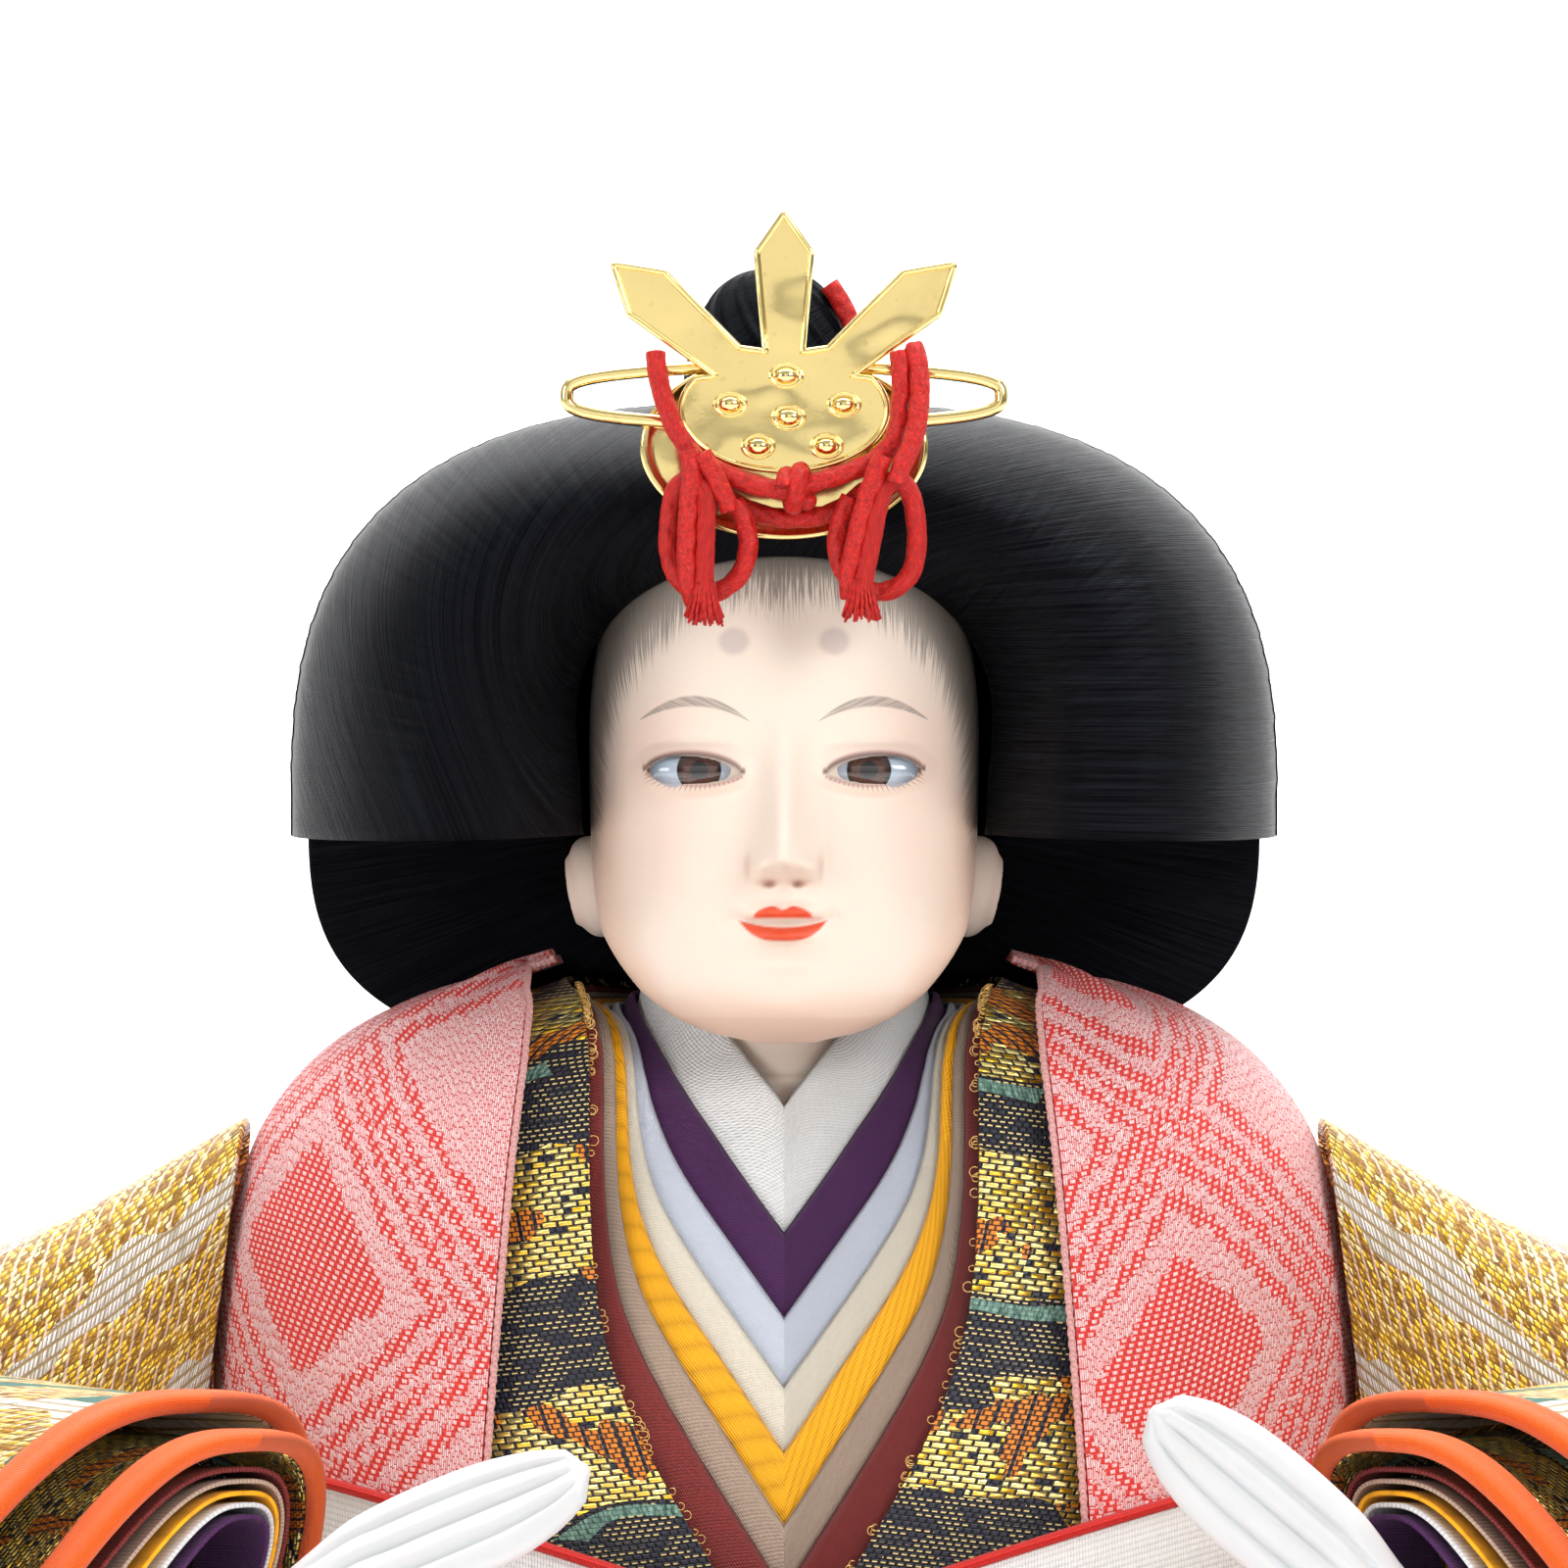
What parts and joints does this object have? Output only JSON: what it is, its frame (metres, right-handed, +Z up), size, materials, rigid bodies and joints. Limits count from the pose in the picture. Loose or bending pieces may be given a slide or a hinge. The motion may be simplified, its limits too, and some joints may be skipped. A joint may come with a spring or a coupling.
{
  "type": "hina doll",
  "caption": "Seated court lady doll in layered brocade robes, with a wide arch of hair, a gilt crown tied with red cords and a pleated train.",
  "frame": {"origin": "on the floor under the middle of the doll's bounding box", "axes": "+Z up, the doll faces -Y, +X to its left hand side as the viewer's right"},
  "size_m": [0.2803, 0.2286, 0.24],
  "materials": {
    "white_silk": "matt silk",
    "purple_silk": "soft sheen",
    "ice_silk": "matt silk",
    "cream_silk": "matt silk",
    "yellow_silk": "soft sheen",
    "beige_silk": "matt silk",
    "maroon_silk": "soft sheen",
    "orange_silk": "padded silk",
    "dark_brocade": "foil weave",
    "gold_brocade": "foil weave",
    "rose_brocade": "figured silk",
    "red_silk": "silk",
    "skin": "painted, satin",
    "hand_white": "painted, matt",
    "black_hair": "combed strands",
    "gilt": "polished gilding",
    "brown_glass": "polished",
    "wood": "planed",
    "straw": "bound straw",
    "wadding": "matt",
    "paper": "matt",
    "iron_wire": "drawn"
  },
  "bodies": {
    "torso": {"base_board": "wood", "straw_core": "straw", "bust_padding": "wadding", "lap_stuffing": "wadding", "arm_padding_left": "wadding", "arm_padding_right": "wadding", "arm_wire": "iron_wire", "over_sleeve_left": "gold_brocade", "under_sleeve_left": "dark_brocade", "over_sleeve_roll_left": "orange_silk", "under_sleeve_roll_left": "orange_silk", "cuff_maroon_left": "maroon_silk", "cuff_beige_left": "beige_silk", "cuff_yellow_left": "yellow_silk", "cuff_white_left": "white_silk", "cuff_purple_left": "purple_silk", "over_sleeve_right": "gold_brocade", "under_sleeve_right": "dark_brocade", "over_sleeve_roll_right": "orange_silk", "under_sleeve_roll_right": "orange_silk", "cuff_maroon_right": "maroon_silk", "cuff_beige_right": "beige_silk", "cuff_yellow_right": "yellow_silk", "cuff_white_right": "white_silk", "cuff_purple_right": "purple_silk", "collar_white": "white_silk", "collar_purple": "purple_silk", "collar_ice": "ice_silk", "collar_cream": "cream_silk", "collar_yellow": "yellow_silk", "collar_beige": "beige_silk", "collar_maroon": "maroon_silk", "brocade_bodice": "dark_brocade", "brocade_skirt": "dark_brocade", "jacket_body": "rose_brocade", "hakama": "red_silk", "hem_white": "white_silk", "hem_yellow": "yellow_silk", "hem_maroon": "maroon_silk", "waist_sash": "white_silk", "train": "white_silk"},
    "neck_socket": {"neck_wrap": "paper"},
    "head_group": {"head": "skin", "eye_left": "brown_glass", "eye_right": "brown_glass", "neck_peg": "wood", "hair_front": "black_hair", "hair_back": "black_hair", "topknot": "black_hair", "crown_plate": "gilt", "comb_plate": "gilt", "hairpin": "gilt", "bow_cord_left": "red_silk", "bow_cord_right": "red_silk", "cross_cord": "red_silk"},
    "tail_group": {"hair_tail": "black_hair", "tail_tie_upper": "paper", "tail_tie_lower": "paper"},
    "left_hand": {"hand_left": "hand_white"},
    "right_hand": {"hand_right": "hand_white"}
  },
  "joints": [
    {"name": "head_turn", "type": "hinge", "parent": "torso", "child": "neck_socket", "pos_m": [-0.0017, -0.0243, 0.144], "axis": [0, 0, 1], "range_deg": [-12, 12]},
    {"name": "head_lift", "type": "slide", "parent": "neck_socket", "child": "head_group", "axis": [0, 0, 1], "range_m": [0, 0.034]},
    {"name": "tail_follow", "type": "hinge", "parent": "head_group", "child": "tail_group", "pos_m": [-0.0017, -0.0243, 0.144], "axis": [0, 0, 1], "range_deg": [-12, 12]},
    {"name": "hand_left_twist", "type": "hinge", "parent": "torso", "child": "left_hand", "pos_m": [-0.0567, -0.1027, 0.1066], "axis": [0.8555, -0.2161, 0.4705], "range_deg": [-15, 15]},
    {"name": "hand_right_twist", "type": "hinge", "parent": "torso", "child": "right_hand", "pos_m": [0.0618, -0.1013, 0.106], "axis": [-0.7494, -0.2022, 0.6305], "range_deg": [-15, 15]}
  ],
  "couplings": [
    {"joint": "tail_follow", "follows": "head_turn", "ratio": -1}
  ]
}
